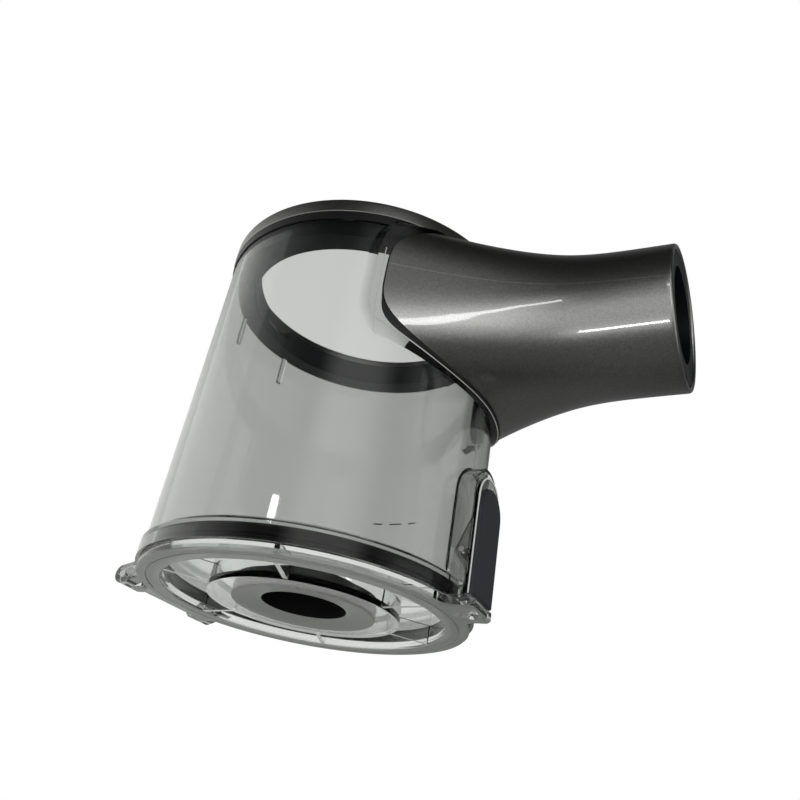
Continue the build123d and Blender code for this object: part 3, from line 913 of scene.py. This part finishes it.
def lever_outline(sizes):
    """Points round the front edge of the clear lever, for the painted highlight wire."""
    low, high = lever_box
    half = high.y - sizes.highlight_bead_inset
    reach = high.x - sizes.highlight_bead_inset
    foot = low.z + sizes.highlight_bead_inset
    shoulder = high.z - sizes.highlight_bead_inset - half
    return [Vector((reach, *place)) for place in arch(half, foot, shoulder, sizes.arch_steps)]


def pocket_outline(sizes):
    """Points along the root of the latch pocket on the round wall."""
    places = arch(sizes.pocket_half, sizes.pocket_foot, sizes.pocket_shoulder, sizes.arch_steps)
    root = sizes.pocket_root
    return [Vector((math.sqrt(root**2 - across**2), across, height)) for across, height in places]


def spring_points(sizes):
    """Middle line of the wire: eye, long leg, coil round the pin and heel."""
    points = []
    foot = Vector((sizes.pivot_reach + sizes.coil_radius, sizes.coil_start, sizes.pivot_height))
    top = foot + Vector((0, 0, sizes.leg))
    for step in range(sizes.eye_steps + 1):
        angle = -math.pi / 2 + 2 * math.pi * (1 - step / sizes.eye_steps)
        points.append(top + sizes.eye * Vector((0, math.cos(angle), 1 + math.sin(angle))))
    for step in range(round(sizes.coil_steps * sizes.turns) + 1):
        wound = step / sizes.coil_steps
        angle = 2 * math.pi * wound
        reach = sizes.pivot_reach + sizes.coil_radius * math.cos(angle)
        height = sizes.pivot_height - sizes.coil_radius * math.sin(angle)
        points.append(Vector((reach, sizes.coil_start + sizes.pitch * wound, height)))
    heel = (points[-1] - points[-2]).normalized()
    points.append(points[-1] + heel * sizes.heel)
    return points


class DUSTBIN_OT_hinge(bpy.types.Operator):
    """Finish the hinge pins"""

    bl_idname = "dustbin.hinge"
    bl_label = "Hinge"

    def execute(self, context):
        dress("hinge_pins", drawn_metal("hinge_steel", settings("colours").steel, rough=0.24))
        return {"FINISHED"}


class DUSTBIN_OT_level_mark(bpy.types.Operator):
    """Raise the plain dashes of the level mark on the back of the bin"""

    bl_idname = "dustbin.level_mark"
    bl_label = "Level mark"

    def execute(self, context):
        sizes = settings("mark")
        vertices = []
        faces = []
        for side in (-1, 0, 1):
            width = sizes.short_dash if side else sizes.long_dash
            curved_dash(sizes, side * sizes.spacing, width, vertices, faces)
        finish = moulded("mark_grey", settings("colours").mark, rough=0.4, grain=1500.0, depth=0.02 * MM)
        add_piece("level_mark", vertices, faces, "bin", [finish])
        return {"FINISHED"}


def curved_dash(sizes, middle, width, vertices, faces):
    """Add one dash, bent round the wall, to the mark's mesh."""
    start = len(vertices)
    inside = sizes.wall_radius - sizes.proud / 2
    outside = sizes.wall_radius + sizes.proud
    foot = sizes.line / 2
    face = sizes.draft * foot
    for step in range(sizes.steps + 1):
        angle = sizes.middle + (middle + width * (step / sizes.steps - 0.5)) / sizes.wall_radius
        for radius, upward in ((inside, -foot), (inside, foot), (outside, face), (outside, -face)):
            vertices.append((radius * math.cos(angle), radius * math.sin(angle), sizes.height + upward))
    for step in range(sizes.steps):
        here = start + 4 * step
        for index in range(4):
            beside = (index + 1) % 4
            faces.append((here + index, here + beside, here + 4 + beside, here + 4 + index))
    faces.append(tuple(start + index for index in range(4)))
    faces.append(tuple(start + 4 * sizes.steps + index for index in (3, 2, 1, 0)))


# Directions of lamps are an azimuth from -Y and an elevation, in degrees, and their sizes are in metres
STRIP_BENDS = ((29.5, -11.0), (23.0, 10.8), (16.0, 18.6), (3.0, 20.0))
SMALL_LAMP = (-1.0, -35.3)
SMALL_LAMP_SIZE = (0.08, 0.04)
WINDOW_LAMP = (-2.0, 13.0)
WINDOW_LAMP_SIZE = (0.06, 0.03)
LARGE_LAMPS = {"side_lamp": (110.0, 25.0), "wash_lamp": (-75.0, 25.0)}
LARGE_LAMP_SIZE = (0.9, 0.9)
LAMP_AIM = Vector((0.05, 0, 0.09))
# Brightness of the room that reflections see
ROOM_BELOW = (0.3, 0.3, 0.295)
ROOM_ABOVE = (0.03, 0.03, 0.03)
ROOM_RIGHT = (1.4, 1.4, 1.38)
ROOM_LEVEL = (2.3, 2.3, 2.25)
ROOM_BEHIND = (0.2, 0.2, 0.2)
ROOM_LEFT = (1.8, 1.8, 1.78)


class DUSTBIN_OT_stage(bpy.types.Operator):
    """Set up the camera, the lamps, the pale floor and the white surroundings"""

    bl_idname = "dustbin.stage"
    bl_label = "Stage"

    def execute(self, context):
        sizes = settings("stage")
        scene = context.scene
        scene.view_settings.view_transform = "Standard"
        place_camera(scene, sizes)
        tube_only = lit_only("tube_only", bpy.data.objects["inlet_tube"])
        wall_only = lit_only("wall_only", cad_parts["bin_shell"])
        bends = [direction(*angles) for angles in STRIP_BENDS]
        for first, last in zip(bends, bends[1:]):
            lean = last - first
            span = sizes.near * lean.length
            size = (sizes.strip_width, span)
            towards = (first + last).normalized()
            lamp = add_lamp("strip_lamp", sizes.strip * span, size, towards, sizes.near, lean)
            lamp.light_linking.receiver_collection = tube_only
        add_lamp("small_lamp", sizes.spot, SMALL_LAMP_SIZE, direction(*SMALL_LAMP), sizes.near)
        lamp = add_lamp("window_lamp", sizes.window, WINDOW_LAMP_SIZE, direction(*WINDOW_LAMP), sizes.near)
        lamp.light_linking.receiver_collection = wall_only
        for name, angles in LARGE_LAMPS.items():
            lamp = add_lamp(name, sizes.fill, LARGE_LAMP_SIZE, direction(*angles), sizes.far)
            lamp.visible_glossy = False
        add_floor(settings("colours").floor)
        set_world(scene, sizes.sky)
        return {"FINISHED"}


def lit_only(name, piece):
    """Collection of the one piece that a lamp lights."""
    receivers = bpy.data.collections.new(name)
    receivers.objects.link(piece)
    return receivers


def direction(azimuth, elevation):
    """Unit vector from the bin towards an azimuth from -Y and an elevation, in degrees."""
    turn = math.radians(azimuth)
    rise = math.radians(elevation)
    return Vector((math.sin(turn) * math.cos(rise), -math.cos(turn) * math.cos(rise), math.sin(rise)))


def place_camera(scene, sizes):
    """Camera of the photograph's view."""
    back = direction(math.degrees(sizes.azimuth), math.degrees(sizes.elevation))
    level = Vector((math.cos(sizes.azimuth), math.sin(sizes.azimuth), 0))
    upright = back.cross(level)
    right = level * math.cos(sizes.roll) + upright * math.sin(sizes.roll)
    upward = upright * math.cos(sizes.roll) - level * math.sin(sizes.roll)
    aim = Vector((0, 0, sizes.target)) + right * sizes.aside + upward * sizes.above
    data = bpy.data.cameras.new("camera")
    data.lens = sizes.lens
    data.sensor_width = 36.0
    data.clip_start = 0.01
    camera = bpy.data.objects.new("camera", data)
    scene.collection.objects.link(camera)
    turn = Matrix((right, upward, back)).transposed().to_4x4()
    camera.matrix_world = Matrix.Translation(aim + back * sizes.distance) @ turn
    scene.camera = camera


def add_lamp(name, power, size, towards, distance, lean=Vector((0, 0, 1))):
    """Area lamp that faces the bin's tube from a direction, its second side along lean."""
    data = bpy.data.lights.new(name, "AREA")
    data.shape = "RECTANGLE"
    data.size, data.size_y = size
    data.energy = power
    lamp = bpy.data.objects.new(name, data)
    bpy.context.scene.collection.objects.link(lamp)
    aside = lean.cross(towards).normalized()
    turn = Matrix((aside, towards.cross(aside), towards)).transposed().to_4x4()
    lamp.matrix_world = Matrix.Translation(LAMP_AIM + towards * distance) @ turn
    return lamp


def add_floor(colour):
    """Pale floor under the bin, which the camera sees from above only."""
    mesh = bpy.data.meshes.new("floor")
    reach = 1.5
    corners = [(-reach, -reach, 0), (reach, -reach, 0), (reach, reach, 0), (-reach, reach, 0)]
    mesh.from_pydata(corners, [], [(0, 1, 2, 3)])
    floor = bpy.data.objects.new("floor", mesh)
    bpy.context.scene.collection.objects.link(floor)
    made, graph = material("pale_floor")
    cloud = graph.noise(FLOOR_SCALE, detail=2.0)
    plain = graph.surface(Base_Color=graph.mix(cloud * 0.2, colour, scaled(colour, 0.97)), Roughness=0.9)
    clear = graph.node("ShaderNodeBsdfTransparent")
    seen = graph.node("ShaderNodeLightPath", output="Is Camera Ray")
    under = graph.node("ShaderNodeNewGeometry", output="Backfacing")
    graph.output(graph.blend(seen * (1 - under), clear, plain))
    mesh.materials.append(made)


def set_world(scene, strength):
    """White where it is seen or looked through, an even soft light, and a dim room in the gloss."""
    world = bpy.data.worlds.new("studio")
    scene.world = world
    world.use_nodes = True
    world.cycles.sampling_method = "NONE"
    graph = Graph(world.node_tree)
    rays = ("Is Camera Ray", "Is Transmission Ray", "Is Glossy Ray")
    seen, through, mirrored = graph.node("ShaderNodeLightPath", output=rays)
    # Masks of the room's sides, by the parts of the direction, which run from -1 to 1
    across, ahead, rise = graph.axes(graph.node("ShaderNodeTexCoord", output="Generated"))
    front = (-ahead).band(0.0, 0.4) * rise.band(0.1, 0.3)
    behind = ahead.band(-0.1, 0.5)
    level = rise.band(-0.75, -0.25) * (1 - rise.band(0.02, 0.34))
    left = (-across).band(0.1, 1.0) * (1 - rise.band(0.4, 0.8))
    right = across.band(0.1, 0.4) * (-ahead).band(0.3, 0.6)
    right = right * rise.band(0.0, 0.2) * (1 - rise.band(0.5, 0.75))
    room = graph.mix(rise.band(-0.4, 0.5), ROOM_BELOW, ROOM_ABOVE)
    sides = ((right, ROOM_RIGHT), (level, ROOM_LEVEL), (behind, ROOM_BEHIND), (left, ROOM_LEFT))
    for mask, brightness in sides:
        room = graph.mix(mask, room, brightness)
    shade = graph.mix((mirrored + through).clamped(), (1.0, 1.0, 0.99), room)
    soft = graph.node("ShaderNodeBackground", None, {"Color": shade, "Strength": strength})
    white = graph.node("ShaderNodeBackground", None, {"Color": (1, 1, 1, 1), "Strength": 1.0})
    graph.output(graph.blend((seen + through * (1 - front)).clamped(), soft, white))


class DUSTBIN_PT_panel(bpy.types.Panel):
    """Lists the steps that dress the dust bin"""

    bl_idname = "DUSTBIN_PT_panel"
    bl_label = "Dust bin"
    bl_space_type = "VIEW_3D"
    bl_region_type = "UI"
    bl_category = "Dust bin"

    def draw(self, context):
        for step in steps:
            self.layout.operator(step.bl_idname)


groups = {
    "rings": RingSizes,
    "lid": LidSizes,
    "tube": TubeSizes,
    "latch": LatchSizes,
    "mark": MarkSizes,
    "colours": Colours,
    "stage": StageSizes,
}
steps = [
    DUSTBIN_OT_clear_wall,
    DUSTBIN_OT_top_rings,
    DUSTBIN_OT_inlet_tube,
    DUSTBIN_OT_mouth,
    DUSTBIN_OT_lid,
    DUSTBIN_OT_latch,
    DUSTBIN_OT_hinge,
    DUSTBIN_OT_level_mark,
    DUSTBIN_OT_stage,
]


def register():
    """Register the classes and hang the property groups on the scene."""
    for name, group in groups.items():
        bpy.utils.register_class(group)
        setattr(bpy.types.Scene, "dust_bin_" + name, PointerProperty(type=group))
    for step in steps:
        bpy.utils.register_class(step)
    bpy.utils.register_class(DUSTBIN_PT_panel)


def unregister():
    """Take the classes and the property groups away again."""
    bpy.utils.unregister_class(DUSTBIN_PT_panel)
    for step in reversed(steps):
        bpy.utils.unregister_class(step)
    for name, group in groups.items():
        delattr(bpy.types.Scene, "dust_bin_" + name)
        bpy.utils.unregister_class(group)


def main():
    """Register the classes and run every step that dresses the bin."""
    register()
    for step in steps:
        family, name = step.bl_idname.split(".")
        getattr(getattr(bpy.ops, family), name)()


if __name__ == "__main__":
    main()
